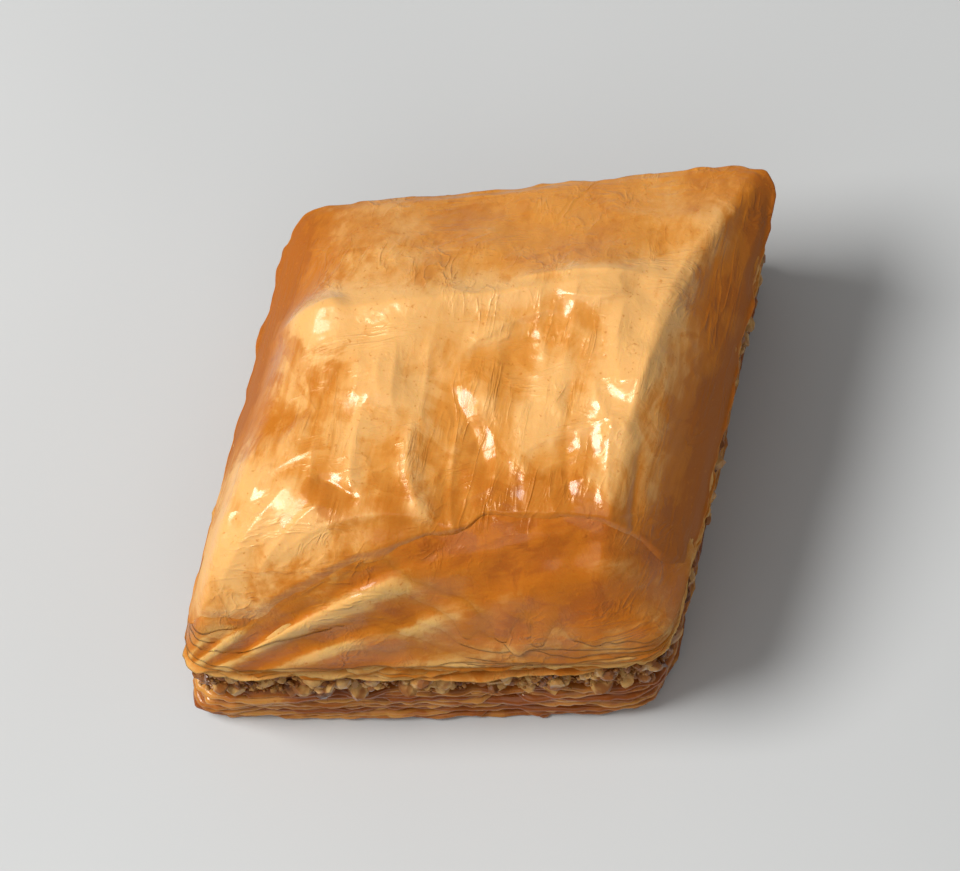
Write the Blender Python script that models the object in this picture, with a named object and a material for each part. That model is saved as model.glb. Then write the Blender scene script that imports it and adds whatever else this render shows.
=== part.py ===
# A lozenge-cut piece of walnut baklava.
# Two stacks of baked leaves hold a band of crushed walnut between them. The upper
# stack is puffed into a dome whose crest lies near the right-hand cut. The lower
# stack is flat underneath, so the piece stands on it.
# Metres, +Z up. The front cut faces -Y, and the slanted cuts are left and right.
import math

import bmesh
import bpy
from mathutils import Vector, noise

# The four cuts, seen from above
CUT_ACROSS = 0.0436
CUT_BACK = 0.0426
SLANT = math.radians(76)
FRONT_TURN = math.radians(1)
BACK_TURN = math.radians(5)
CORNER_POWER = 13

# Heights of the layers
LOWER_STACK = 0.0082
FILLING = 0.0050
GAP = 0.0003
LAYER_WAVE = 0.0007
LAYER_WAVE_LENGTH = 0.016
CREST = 0.0318

# Height of the dome's rim at the four corners
RIM_FRONT_LEFT = 0.0180
RIM_FRONT_RIGHT = 0.0198
RIM_BACK_LEFT = 0.0222
RIM_BACK_RIGHT = 0.0240

# The dome's shoulder along each cut: a steep part beside the cut and a gentle slope above it,
# each with its width and the power that rounds it, and the steep part's share of the rise.
# The steep part of the left one narrows towards the front, and that of the right one widens.
STEEP_LEFT_FRONT = 0.0022
STEEP_LEFT_BACK = 0.0064
STEEP_LEFT_POWER = 1.9
STEEP_LEFT_SHARE = 0.62
STEEP_LEFT_CHANGE = (0.15, 0.85)
STEEP_RIGHT_FRONT = 0.0076
STEEP_RIGHT_BACK = 0.0018
STEEP_RIGHT_POWER = 1.35
STEEP_RIGHT_SHARE = 0.84
STEEP_RIGHT_CHANGE = (-0.1, 0.4)
SHOULDER_FRONT = 0.0115
SHOULDER_FRONT_POWER = 1.9
STEEP_BACK = 0.0135
STEEP_BACK_POWER = 1.5
STEEP_BACK_SHARE = 0.80
GENTLE_LEFT = 0.0170
GENTLE_RIGHT = 0.0140
GENTLE_BACK = 0.0240
GENTLE_POWER = 2.3
PUFF_LUMP = 0.0009
PUFF_LUMP_LENGTH = 0.0105

# Leaf edges that show at the cuts
UPPER_RIDGES = 7
LOWER_RIDGES = 4
RIDGE_DEPTH = 0.00045
CUT_WAVE = 0.0007
CUT_WAVE_LENGTH = 0.0075
LEAF_TO_LEAF_CHANGE = 3
EDGE_ROUND = 0.0004
CRUMB_RINGS = 4
CRUMB_DEPTH = 0.0008
CRUMB_LENGTH = 0.0028
FILLING_SETBACK = 0.0006

# Mesh fineness
POINTS_PER_CUT = 20
HIDDEN_FACE_SCALES = (0.30, 0.64, 0.95)
DOME_SCALES = (0.97, 0.93, 0.88, 0.82, 0.75, 0.67, 0.58, 0.47, 0.34, 0.22, 0.10)
SMOOTH_ANGLE = math.radians(55)

# Linear colours and finishes
UPPER_COLOUR = (0.60, 0.28, 0.075)
LOWER_COLOUR = (0.38, 0.13, 0.028)
WALNUT_COLOUR = (0.26, 0.13, 0.055)
LEAF_ROUGHNESS = 0.28
WALNUT_ROUGHNESS = 0.55


def corner_points():
    """The four corners of the cut outline, on the table: front left and right, back left and right."""
    front_left = Vector((0.0, 0.0))
    front_right = front_left + Vector((math.cos(FRONT_TURN), math.sin(FRONT_TURN))) * CUT_ACROSS
    back_left = front_left + Vector((math.cos(SLANT), math.sin(SLANT))) * CUT_BACK
    back_right = back_left + Vector((math.cos(BACK_TURN), math.sin(BACK_TURN))) * CUT_ACROSS
    return front_left, front_right, back_left, back_right


CORNERS = corner_points()
HALF_WIDTH = CUT_BACK * math.sin(SLANT) / 2


def between_corners(u, v, values):
    """Blend of four corner values at u (left -1, right 1) and v (front -1, back 1)."""
    right = (1 + u) / 2
    back = (1 + v) / 2
    front_value = values[0] * (1 - right) + values[1] * right
    back_value = values[2] * (1 - right) + values[3] * right
    return front_value * (1 - back) + back_value * back


def outline_walk():
    """Points round the unit square, evenly spaced along each side, its corners rounded."""
    points = []
    for quarter in range(4):
        turn = quarter * math.pi / 2
        for step in range(POINTS_PER_CUT):
            along = -1 + 2 * step / POINTS_PER_CUT
            pull = (1 + abs(along) ** CORNER_POWER) ** (-1 / CORNER_POWER)
            u = pull * (math.cos(turn) - math.sin(turn) * along)
            v = pull * (math.sin(turn) + math.cos(turn) * along)
            points.append((u, v))
    return points


WALK = outline_walk()


def unevenness(x, y, z, length):
    """Smooth unevenness between about -1 and 1, with bumps of the given length."""
    return noise.noise(Vector((x, y, z)) / length)


def lower_stack_top(x, y):
    """Height of the gently waved face where the lower leaves end."""
    return LOWER_STACK + LAYER_WAVE * unevenness(x, y, 0.0, LAYER_WAVE_LENGTH)


def filling_top(x, y):
    """Height of the face where the walnut ends."""
    return lower_stack_top(x, y) + GAP + FILLING


def shoulder(distance, width, power):
    """Rise from 0 at the cut to 1 at the shoulder's width inwards, rounded like a pillow."""
    reach = min(max(distance / width, 0.0), 1.0)
    return 1 - (1 - reach) ** power


def eased(value, start, end):
    """0 before the start, 1 after the end, and an S-shaped rise between."""
    share = min(max((value - start) / (end - start), 0.0), 1.0)
    return share * share * (3 - 2 * share)


def two_slopes(distance, steep_width, steep_power, steep_share, gentle_width):
    """A steep shoulder beside the cut and a gentle one above it, added by the steep one's share."""
    steep = shoulder(distance, steep_width, steep_power)
    gentle = shoulder(distance, gentle_width, GENTLE_POWER)
    return steep * steep_share + gentle * (1 - steep_share)


def left_shoulder(distance, front_share):
    """Rise from the left cut, at a share of the way from the back to the front."""
    change = eased(front_share, *STEEP_LEFT_CHANGE)
    width = STEEP_LEFT_BACK + (STEEP_LEFT_FRONT - STEEP_LEFT_BACK) * change
    return two_slopes(distance, width, STEEP_LEFT_POWER, STEEP_LEFT_SHARE, GENTLE_LEFT)


def right_shoulder(distance, front_share):
    """Rise from the right cut, at a share of the way from the back to the front."""
    change = eased(front_share, *STEEP_RIGHT_CHANGE)
    width = STEEP_RIGHT_BACK + (STEEP_RIGHT_FRONT - STEEP_RIGHT_BACK) * change
    return two_slopes(distance, width, STEEP_RIGHT_POWER, STEEP_RIGHT_SHARE, GENTLE_RIGHT)


def rim_height(u, v):
    """Height of the dome's rim, blended between the corners."""
    heights = (RIM_FRONT_LEFT, RIM_FRONT_RIGHT, RIM_BACK_LEFT, RIM_BACK_RIGHT)
    return between_corners(u, v, heights)


def dome_height(u, v):
    """Height of the puffed top: the rim, four shoulders multiplied, and soft lumps."""
    width = CUT_ACROSS * math.sin(SLANT)
    depth = 2 * HALF_WIDTH
    front_share = (1 - v) / 2
    rise = left_shoulder((1 + u) / 2 * width, front_share)
    rise *= right_shoulder((1 - u) / 2 * width, front_share)
    rise *= shoulder((1 + v) / 2 * depth, SHOULDER_FRONT, SHOULDER_FRONT_POWER)
    rise *= two_slopes(depth * front_share, STEEP_BACK, STEEP_BACK_POWER, STEEP_BACK_SHARE, GENTLE_BACK)
    x, y = between_corners(u, v, CORNERS)
    lump = PUFF_LUMP * unevenness(x, y, CREST, PUFF_LUMP_LENGTH)
    rim = rim_height(u, v)
    return rim + (CREST - rim + lump) * rise


def ring(scale, height):
    """One ring of the outline at a scale, with its height from a function of x, y, u and v."""
    points = []
    for u, v in WALK:
        x, y = between_corners(u * scale, v * scale, CORNERS)
        points.append(Vector((x, y, height(x, y, u * scale, v * scale))))
    return points


def side_ring(share, bottom, top, out, wave, wave_length):
    """A ring on the cut, at a share of the way from bottom to top, pushed out and made uneven."""
    points = []
    for u, v in WALK:
        x, y = between_corners(u, v, CORNERS)
        z = bottom(x, y, u, v) * (1 - share) + top(x, y, u, v) * share
        push = out + wave * unevenness(x, y, LEAF_TO_LEAF_CHANGE * z, wave_length)
        scale = 1 + push / HALF_WIDTH
        x, y = between_corners(u * scale, v * scale, CORNERS)
        points.append(Vector((x, y, z)))
    return points


def ridge_rings(ridges, bottom, top):
    """Side rings that go in and out once for each leaf edge."""
    rings = []
    steps = 2 * ridges
    for step in range(steps + 1):
        out = 0.0 if step % 2 else -RIDGE_DEPTH
        rings.append(side_ring(step / steps, bottom, top, out, CUT_WAVE, CUT_WAVE_LENGTH))
    return rings


def closed_loft(name, rings, bottom_height, top_height):
    """A closed body through the rings, from the middle of its underside to the middle of its top."""
    mesh = bpy.data.meshes.new(name)
    shape = bmesh.new()
    loops = [[shape.verts.new(point) for point in points] for points in rings]
    count = len(WALK)
    for lower, upper in zip(loops, loops[1:]):
        for index in range(count):
            following = (index + 1) % count
            shape.faces.new((lower[index], lower[following], upper[following], upper[index]))
    x, y = between_corners(0, 0, CORNERS)
    bottom_centre = shape.verts.new((x, y, bottom_height(x, y, 0, 0)))
    top_centre = shape.verts.new((x, y, top_height(x, y, 0, 0)))
    for index in range(count):
        following = (index + 1) % count
        shape.faces.new((bottom_centre, loops[0][following], loops[0][index]))
        shape.faces.new((top_centre, loops[-1][index], loops[-1][following]))
    bmesh.ops.triangulate(shape, faces=[face for face in shape.faces if len(face.verts) == 4])
    bmesh.ops.recalc_face_normals(shape, faces=shape.faces)
    shape.to_mesh(mesh)
    shape.free()
    mesh.shade_smooth()
    mesh.set_sharp_from_angle(angle=SMOOTH_ANGLE)
    piece = bpy.data.objects.new(name, mesh)
    bpy.context.scene.collection.objects.link(piece)
    return piece


def finish(piece, name, colour, roughness):
    """Gives a piece its own Principled material."""
    material = bpy.data.materials.new(name)
    material.use_nodes = True
    shader = material.node_tree.nodes["Principled BSDF"]
    shader.inputs["Base Color"].default_value = (*colour, 1.0)
    shader.inputs["Roughness"].default_value = roughness
    shader.inputs["Metallic"].default_value = 0.0
    piece.data.materials.append(material)


def lower_leaves():
    """The flat-bottomed lower stack of leaves, soaked with syrup."""
    def underside(x, y, u, v):
        return 0.0

    def lowest_leaf(x, y, u, v):
        return EDGE_ROUND

    def top_face(x, y, u, v):
        return lower_stack_top(x, y)

    def highest_leaf(x, y, u, v):
        return lower_stack_top(x, y) - EDGE_ROUND

    rings = [ring(scale, underside) for scale in HIDDEN_FACE_SCALES]
    rings += ridge_rings(LOWER_RIDGES, lowest_leaf, highest_leaf)
    rings += [ring(scale, top_face) for scale in reversed(HIDDEN_FACE_SCALES)]
    piece = closed_loft("lower_leaves", rings, underside, top_face)
    finish(piece, "syrup_soaked_leaves", LOWER_COLOUR, LEAF_ROUGHNESS)
    return piece


def walnut_filling():
    """The band of crushed walnut, crumbly where the cuts go through it."""
    def bottom_face(x, y, u, v):
        return lower_stack_top(x, y) + GAP

    def top_face(x, y, u, v):
        return filling_top(x, y)

    rings = [ring(scale, bottom_face) for scale in HIDDEN_FACE_SCALES]
    for step in range(CRUMB_RINGS):
        share = (step + 0.5) / CRUMB_RINGS
        rings.append(side_ring(share, bottom_face, top_face, -FILLING_SETBACK, CRUMB_DEPTH, CRUMB_LENGTH))
    rings += [ring(scale, top_face) for scale in reversed(HIDDEN_FACE_SCALES)]
    piece = closed_loft("walnut_filling", rings, bottom_face, top_face)
    finish(piece, "crushed_walnut", WALNUT_COLOUR, WALNUT_ROUGHNESS)
    return piece


def upper_leaves():
    """The puffed upper stack of leaves, with its domed glazed top."""
    def bottom_face(x, y, u, v):
        return filling_top(x, y) + GAP

    def lowest_leaf(x, y, u, v):
        return filling_top(x, y) + GAP + EDGE_ROUND

    def rim(x, y, u, v):
        return rim_height(u, v)

    def top_face(x, y, u, v):
        return dome_height(u, v)

    rings = [ring(scale, bottom_face) for scale in HIDDEN_FACE_SCALES]
    rings += ridge_rings(UPPER_RIDGES, lowest_leaf, rim)
    rings += [ring(scale, top_face) for scale in DOME_SCALES]
    piece = closed_loft("upper_leaves", rings, bottom_face, top_face)
    finish(piece, "glazed_leaves", UPPER_COLOUR, LEAF_ROUGHNESS)
    return piece


def centre_on_table(pieces):
    """Moves the meshes so that the middle of the whole, seen from above, is at the origin."""
    points = [vertex.co for piece in pieces for vertex in piece.data.vertices]
    middle_x = (min(point.x for point in points) + max(point.x for point in points)) / 2
    middle_y = (min(point.y for point in points) + max(point.y for point in points)) / 2
    for piece in pieces:
        for vertex in piece.data.vertices:
            vertex.co -= Vector((middle_x, middle_y, 0.0))


for leftover in list(bpy.data.objects):
    bpy.data.objects.remove(leftover)
centre_on_table([lower_leaves(), walnut_filling(), upper_leaves()])
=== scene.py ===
# %% [markdown]
# A piece of walnut baklava, built as a lesson. The finished piece has a puffed stack of
# thin baked leaves, a band of crushed walnut and a flat stack of leaves soaked with syrup.
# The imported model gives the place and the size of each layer. Every surface here is worked
# out with numpy over that model, in metres, and then gets a procedural finish.

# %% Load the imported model
import itertools
import math

import bmesh
import bpy
import numpy as np
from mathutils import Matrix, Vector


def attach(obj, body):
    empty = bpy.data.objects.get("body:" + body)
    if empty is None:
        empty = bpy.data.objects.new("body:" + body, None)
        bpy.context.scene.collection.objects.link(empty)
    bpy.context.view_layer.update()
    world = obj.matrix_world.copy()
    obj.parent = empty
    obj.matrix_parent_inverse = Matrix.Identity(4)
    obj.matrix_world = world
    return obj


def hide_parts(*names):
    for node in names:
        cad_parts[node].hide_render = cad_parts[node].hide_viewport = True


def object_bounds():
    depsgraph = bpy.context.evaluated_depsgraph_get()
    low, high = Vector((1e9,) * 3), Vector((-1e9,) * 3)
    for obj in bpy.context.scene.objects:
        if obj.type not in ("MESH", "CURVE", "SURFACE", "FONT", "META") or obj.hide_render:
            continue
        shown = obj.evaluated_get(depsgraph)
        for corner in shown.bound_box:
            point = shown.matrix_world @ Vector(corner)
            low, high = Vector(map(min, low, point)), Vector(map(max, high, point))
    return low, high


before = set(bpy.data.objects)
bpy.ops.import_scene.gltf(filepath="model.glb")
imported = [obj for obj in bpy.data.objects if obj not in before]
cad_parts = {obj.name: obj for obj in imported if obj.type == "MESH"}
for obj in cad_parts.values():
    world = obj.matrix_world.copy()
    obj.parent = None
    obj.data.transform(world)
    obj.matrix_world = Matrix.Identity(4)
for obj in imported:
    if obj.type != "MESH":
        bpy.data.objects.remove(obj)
cad_box = [list(map(float, corner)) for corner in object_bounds()]
LOW, HIGH = (np.array(corner) for corner in cad_box)
MM = 0.001
print("box of the packed model in mm", np.round((HIGH - LOW) / MM, 1))

# %% [markdown]
# The piece was cut out of a large round with straight knife cuts, two ways. That gives a
# lozenge whose corners are known from two lengths and three angles. Everything below is
# placed by u, from the left cut to the right cut, and v, from the front cut to the back
# cut, both from -1 to 1. Working in u and v keeps the formulas free of the slant.

# %% The lozenge
CUT_ACROSS = 43.6 * MM
CUT_BACK = 42.6 * MM
SLANT = math.radians(76)
FRONT_TURN = math.radians(1)
BACK_TURN = math.radians(5)
CORNER_POWER = 13
TRIM = 0.978
WIDTH = CUT_ACROSS * math.sin(SLANT)
DEPTH = CUT_BACK * math.sin(SLANT)


def direction(angle):
    """Unit vector at an angle from the X axis."""
    return np.array([math.cos(angle), math.sin(angle)])


def corner_places():
    """Front left, front right, back left and back right corners, centred on the origin."""
    front_left = np.zeros(2)
    front_right = front_left + CUT_ACROSS * direction(FRONT_TURN)
    back_left = front_left + CUT_BACK * direction(SLANT)
    back_right = back_left + CUT_ACROSS * direction(BACK_TURN)
    four = np.array([front_left, front_right, back_left, back_right])
    return (four - (four.min(0) + four.max(0)) / 2) * TRIM


CORNERS = corner_places()


def between(u, v, values):
    """Blend of four corner values: linear in u along the front and the back, then linear in v."""
    right, back = (1 + u) / 2, (1 + v) / 2
    front_value = values[0] * (1 - right) + values[1] * right
    back_value = values[2] * (1 - right) + values[3] * right
    return front_value * (1 - back) + back_value * back


def lozenge(u, v):
    """x and y in metres of the places u, v."""
    return between(u, v, CORNERS[:, 0]), between(u, v, CORNERS[:, 1])


def corner_pull(w):
    """Factor that rounds a square's corners: (1 + |w|^p)^(-1/p) at w along a side from -1 to 1."""
    return (1 + np.abs(w) ** CORNER_POWER) ** (-1 / CORNER_POWER)


def rim_point(along):
    """u and v on the rim after a walk of 0 to 4 sides round the unit square, from its right side.

    On a side, a point is at (1, w) times the corner pull, turned by quarters."""
    quarter = np.floor(along)
    w = -1 + 2 * (along - quarter)
    pull = corner_pull(w)
    turn = quarter * math.pi / 2
    u = pull * (np.cos(turn) - np.sin(turn) * w)
    v = pull * (np.sin(turn) + np.cos(turn) * w)
    return u, v


def walk_round(count):
    """u and v of evenly counted points round the rim."""
    return rim_point(np.arange(count) * 4.0 / count)


print("corners in mm", np.round(CORNERS / MM, 1).tolist())

# %% [markdown]
# Pastry is never even. Leaves swell, sink and tear at every size, from the whole dome down
# to crinkles finer than a hair. Blender's own noise works one point at a time, so this cell
# makes a noise that takes whole arrays: random numbers on a lattice, blended smoothly.

# %% Unevenness
LATTICE = 32


def smooth_step(low, high, value):
    """0 below low, 1 above high, and an S-shaped rise between."""
    t = np.clip((value - low) / (high - low), 0, 1)
    return t * t * (3 - 2 * t)


def uneven(x, y, z, size, seed):
    """Smooth noise from -1 to 1 with bumps of a size.

    Random values sit on the corners of cells, and a point takes the blend of its cell's
    eight corners, each weighted by how near it is, with an easing that hides the cells."""
    table = np.random.default_rng(seed).uniform(-1, 1, (LATTICE,) * 3)
    place = np.stack(np.broadcast_arrays(x, y, z), -1) / size + LATTICE / 2
    cell = np.floor(place).astype(int)
    t = place - cell
    t = t ** 3 * (t * (6 * t - 15) + 10)
    total = 0.0
    for step in itertools.product((0, 1), repeat=3):
        weight = np.prod(np.where(np.array(step) == 1, t, 1 - t), axis=-1)
        i, j, k = np.moveaxis((cell + np.array(step)) % LATTICE, -1, 0)
        total = total + weight * table[i, j, k]
    return total


def rough(x, y, z, size, seed, octaves=3):
    """Several sizes of unevenness added up, each half as large and half as strong as the last."""
    parts = [uneven(x, y, z, size / 2 ** n, seed + n) / 2 ** n for n in range(octaves)]
    return sum(parts)


def wrinkled(x, y, size, stretch, angle, seed):
    """Sharp-crested wrinkles: 1 minus the size of a noise, squared, drawn out along an angle."""
    along = x * math.cos(angle) + y * math.sin(angle)
    across = y * math.cos(angle) - x * math.sin(angle)
    return (1 - np.abs(uneven(along / stretch, across, 0.0, size, seed))) ** 2


# %% [markdown]
# The top swells into a pillow in the oven. Its crest runs close to the right cut, where it
# turns down quickly, and it falls gently to the left and to the back. The pillow is four
# shoulders multiplied, one for each cut, laid over a rim whose height differs at each
# corner. Soft lumps break it up. The lower leaves share this shape, so it is a function.

# %% The pillow
LOWER_TOP = 8.2 * MM
FILLING_TOP = 13.5 * MM
CREST = 31.3 * MM
ROOM_FOR_FOLDS = 0.9 * MM
# heights of the rim at the front left, front right, back left and back right corners
RIM = np.array([18.4, 20.2, 22.6, 24.4]) * MM


def shoulder(distance, width, power=2.3):
    """Rise from 0 at a cut to 1 at the shoulder's width inwards; a low power makes a crisp crest."""
    reach = np.clip(distance / width, 0, 1)
    return 1 - (1 - reach) ** power


def rim_height(u, v):
    """Height of the pillow's rim, blended between its four corners."""
    return between(u, v, RIM)


def four_shoulders(u, v):
    """Rise from the left, right, front and back cuts.

    The left one is a steep edge, wide at the back, with a long gentle slope above it. The
    right one starts narrow in the back corner and widens, which draws the slanting crest."""
    front_share = np.clip((1 - v) / 2, 0, 1)
    from_left, from_right = (1 + u) / 2 * WIDTH, (1 - u) / 2 * WIDTH
    from_front, from_back = (1 + v) / 2 * DEPTH, (1 - v) / 2 * DEPTH
    steep = shoulder(from_left, (2.2 + 4.2 * smooth_step(0.85, 0.15, front_share)) * MM, 1.9)
    left = 0.62 * steep + 0.38 * shoulder(from_left, 17.0 * MM)
    right_width = (1.8 + 5.8 * smooth_step(-0.1, 0.4, front_share)) * MM
    right = 0.84 * shoulder(from_right, right_width, 1.35) + 0.16 * shoulder(from_right, 14.0 * MM)
    front = shoulder(from_front, 11.5 * MM, 1.9)
    back = 0.80 * shoulder(from_back, 13.5 * MM, 1.5) + 0.20 * shoulder(from_back, 24.0 * MM)
    return left, right, front, back


def pillow_rise(u, v):
    """0 at the cuts and 1 on the crest: the four shoulders multiplied."""
    left, right, front, back = four_shoulders(u, v)
    return left * right * front * back


def pillow(u, v):
    """Height of the pillow: rim, plus the rise to the crest, plus soft lumps on the rise."""
    x, y = lozenge(u, v)
    rim = rim_height(u, v)
    lumps = 0.75 * MM * uneven(x, y, 0.0, 9.5 * MM, 11) + 0.40 * MM * uneven(x, y, 0.0, 4.8 * MM, 12)
    rise = pillow_rise(u, v)
    return rim + (CREST - ROOM_FOR_FOLDS - rim) * rise + lumps * np.sqrt(np.clip(rise, 0, 1))


centre = pillow(np.zeros(1), np.zeros(1))[0]
print("height at the middle in mm", round(centre / MM, 1))

# %% [markdown]
# The glazed top leaf is a skin of wet dough about a third of a millimetre thick. Where it
# lifts off the leaf under it, it wrinkles, and each fold has one crisp side and one soft
# side. The long folds are placed one by one, because they give this piece its face. A
# fold is a bowed line with a height, and a different width on each side.

# %% Folds and wrinkles of the top leaf
# start u, v; end u, v; bow to the left, height, width on the left, width on the right (in mm)
FOLDS = (
    (0.62, -0.36, 0.94, 0.93, 1.6, 0.65, 3.0, 1.0),
    (-0.96, -0.76, -0.78, 0.54, 0.9, 0.35, 0.8, 2.4),
    (-0.84, 0.40, 0.70, 0.48, -0.7, 0.65, 3.2, 1.3),
    (-0.92, 0.34, -0.66, 0.44, 0.4, 0.75, 1.0, 1.3),
    (-0.64, -0.20, -0.56, 0.18, 0.5, -0.16, 0.3, 0.5),
    (-0.24, 0.42, 0.16, 0.42, -0.4, 0.30, 1.0, 0.8),
    (0.06, 0.47, 0.56, 0.45, 0.4, 0.28, 0.7, 0.30),
    (0.24, 0.38, 0.52, 0.36, -0.3, 0.24, 0.6, 0.30),
    (-0.10, 0.16, 0.22, 0.32, 0.7, 0.22, 0.9, 0.4),
    (0.58, -0.06, 0.50, 0.32, 0.6, 0.50, 1.0, 1.7),
    (0.60, -0.24, 0.44, 0.04, 0.5, 0.26, 0.7, 1.1),
    (0.13, -0.38, -0.15, 0.04, -0.3, -0.12, 0.5, 0.7),
    (0.22, -0.36, -0.04, 0.04, -0.5, 0.12, 0.6, 1.4),
    (-0.40, -0.46, -0.45, -0.10, 0.5, 0.52, 0.8, 1.3),
    (-0.10, -0.54, -0.24, -0.14, 0.8, 0.58, 0.9, 1.5),
    (-0.38, -0.46, -0.56, -0.36, -0.2, -0.30, 0.5, 0.5),
    (-0.62, -0.64, 0.02, -0.58, 1.6, 0.42, 1.6, 0.6),
    (0.32, -0.54, 0.18, -0.02, 0.4, 0.20, 0.9, 1.4),
    (0.48, -0.52, 0.36, 0.0, 0.4, -0.20, 0.7, 0.9),
    (0.64, -0.54, 0.56, -0.16, 0.3, 0.28, 0.7, 0.7),
    (0.74, -0.60, 0.70, -0.26, 0.2, -0.30, 0.4, 0.7),
    (-0.86, -0.74, -0.66, -0.36, 0.4, 0.44, 0.8, 1.2),
    (-0.72, -0.72, -0.50, -0.46, 0.4, 0.32, 0.5, 1.0),
    (-0.82, -0.42, -0.66, -0.06, 0.3, 0.28, 0.6, 1.0),
    (-0.40, -0.02, -0.42, 0.32, 0.6, 0.24, 0.9, 1.6),
    (-0.62, 0.54, -0.30, 0.80, 0.8, 0.14, 1.4, 1.0),
    (0.30, 0.82, 0.78, 0.74, -0.6, 0.14, 1.6, 1.0),
)


def fold_relief(x, y, fold):
    """Height of one fold at x, y.

    The distance to a bowed line is taken across the chord from start to end, less the bow,
    which is a parabola along the chord. The height falls off as a bell on each side, with
    that side's width, and fades out towards both ends."""
    start = np.array(lozenge(fold[0], fold[1]))
    chord = np.array(lozenge(fold[2], fold[3])) - start
    length = np.hypot(*chord)
    ahead = chord / length
    bow, height, left_width, right_width = (value * MM for value in fold[4:])
    along = ((x - start[0]) * ahead[0] + (y - start[1]) * ahead[1]) / length
    left = (y - start[1]) * ahead[0] - (x - start[0]) * ahead[1]
    left = left - bow * 4 * along * (1 - along)
    width = np.where(left > 0, left_width, right_width)
    fade = smooth_step(-0.12, 0.16, along) * smooth_step(-0.12, 0.16, 1 - along)
    return height * np.exp(-np.abs(left / width) ** 1.35) * fade


def top_relief(u, v):
    """All the long folds, and patches of fine wrinkles drawn out from front to back."""
    x, y = lozenge(u, v)
    relief = sum(fold_relief(x, y, fold) for fold in FOLDS)
    patch = smooth_step(-0.25, 0.45, uneven(x, y, 0.0, 8 * MM, 21)) * smooth_step(0.66, 0.36, v)
    inside = smooth_step(0.0, 0.5, pillow_rise(u, v))
    fine = 0.20 * MM * wrinkled(x, y, 3.0 * MM, 2.6, SLANT + 0.15, 22)
    fine = fine + 0.12 * MM * wrinkled(x, y, 2.0 * MM, 2.0, 0.35, 23)
    fine = fine + 0.12 * MM * uneven(x, y, 0.0, 2.2 * MM, 25)
    tiny = 0.02 * MM * rough(x, y, 0.0, 0.9 * MM, 24)
    return relief * smooth_step(0.0, 0.25, pillow_rise(u, v)) + fine * patch * inside + tiny


print("folds placed by hand:", len(FOLDS))

# %% [markdown]
# Every surface ends up as a list of points and faces. These helpers stitch a grid of
# points into quads, turn a body inside out if it needs it, and hand the arrays to Blender
# in one go. Numbers that a finish needs, such as how toasted a place is, go along as
# attributes on the points.

# %% Helpers for meshes


def grid_faces(rows, columns, wrap_rows=False, wrap_columns=False):
    """Quads between neighbouring points of a grid, joined end to start where it wraps."""
    row = np.arange(rows if wrap_rows else rows - 1)
    column = np.arange(columns if wrap_columns else columns - 1)
    i, j = np.meshgrid(row, column, indexing="ij")
    next_i, next_j = (i + 1) % rows, (j + 1) % columns
    quads = [i * columns + j, next_i * columns + j, next_i * columns + next_j, i * columns + next_j]
    return np.stack(quads, -1).reshape(-1, 4)


def fan_faces(loop, tip):
    """Triangles from a closed loop of point numbers to a tip, written as quads with the tip twice."""
    following = np.roll(loop, -1)
    return np.stack([loop, following, np.full_like(loop, tip), np.full_like(loop, tip)], -1)


def enclosed(points, faces):
    """Signed volume inside a closed body: a sixth of the triple products of its triangles."""
    a, b, c, d = (points[faces[:, k]] for k in range(4))
    triangles = np.einsum("ij,ij->i", a, np.cross(b, c)) + np.einsum("ij,ij->i", a, np.cross(c, d))
    return triangles.sum() / 6


def facing_out(points, faces):
    """The faces, turned round if they enclose a negative volume."""
    return faces if enclosed(points, faces) > 0 else faces[:, ::-1]


def join(bodies):
    """Several bodies, each (points, faces, attributes), as one."""
    starts = np.cumsum([0] + [len(body[0]) for body in bodies[:-1]])
    points = np.concatenate([body[0] for body in bodies])
    faces = np.concatenate([body[1] + start for body, start in zip(bodies, starts)])
    names = bodies[0][2].keys()
    marks = {name: np.concatenate([body[2][name] for body in bodies]) for name in names}
    return points, faces, marks


def mesh_from(name, points, faces):
    """A mesh from arrays; a corner that repeats the one before it is left out of its face."""
    kept = faces != np.roll(faces, 1, axis=1)
    sizes = kept.sum(axis=1)
    mesh = bpy.data.meshes.new(name)
    mesh.vertices.add(len(points))
    mesh.loops.add(int(sizes.sum()))
    mesh.polygons.add(len(faces))
    mesh.vertices.foreach_set("co", points.astype(np.float32).ravel())
    mesh.loops.foreach_set("vertex_index", faces[kept].astype(np.int32))
    mesh.polygons.foreach_set("loop_start", (np.cumsum(sizes) - sizes).astype(np.int32))
    mesh.update(calc_edges=True)
    return mesh


def make_piece(name, body, node, material, smooth=True):
    """A mesh object from a body, riding with the model, in the place of a node."""
    points, faces, marks = body
    mesh = mesh_from(name, points, faces)
    for mark, values in marks.items():
        layer = mesh.attributes.new(mark, "FLOAT", "POINT")
        layer.data.foreach_set("value", np.ascontiguousarray(values, dtype=np.float32))
    mesh.polygons.foreach_set("use_smooth", np.full(len(mesh.polygons), smooth))
    mesh.update()
    piece = bpy.data.objects.new(name, mesh)
    bpy.context.scene.collection.objects.link(piece)
    piece.data.materials.append(material)
    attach(piece, "root")
    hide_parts(node)
    triangles = len(mesh.loops) - 2 * len(mesh.polygons)
    low, high = points.min(0) / MM, points.max(0) / MM
    print(f"{name}: {triangles} triangles, from {np.round(low, 1)} to {np.round(high, 1)} mm")
    return piece


# %% [markdown]
# Finishes come next, so that each piece can take its own as it is made. A finish is a tree
# of nodes, and most of its steps are the same few: read a noise, stretch its range, put
# two numbers together, mix two colours. Each step is a function that adds one node, links
# it and hands back its socket, so that a finish reads like a formula.

# %% Shader helpers


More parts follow.
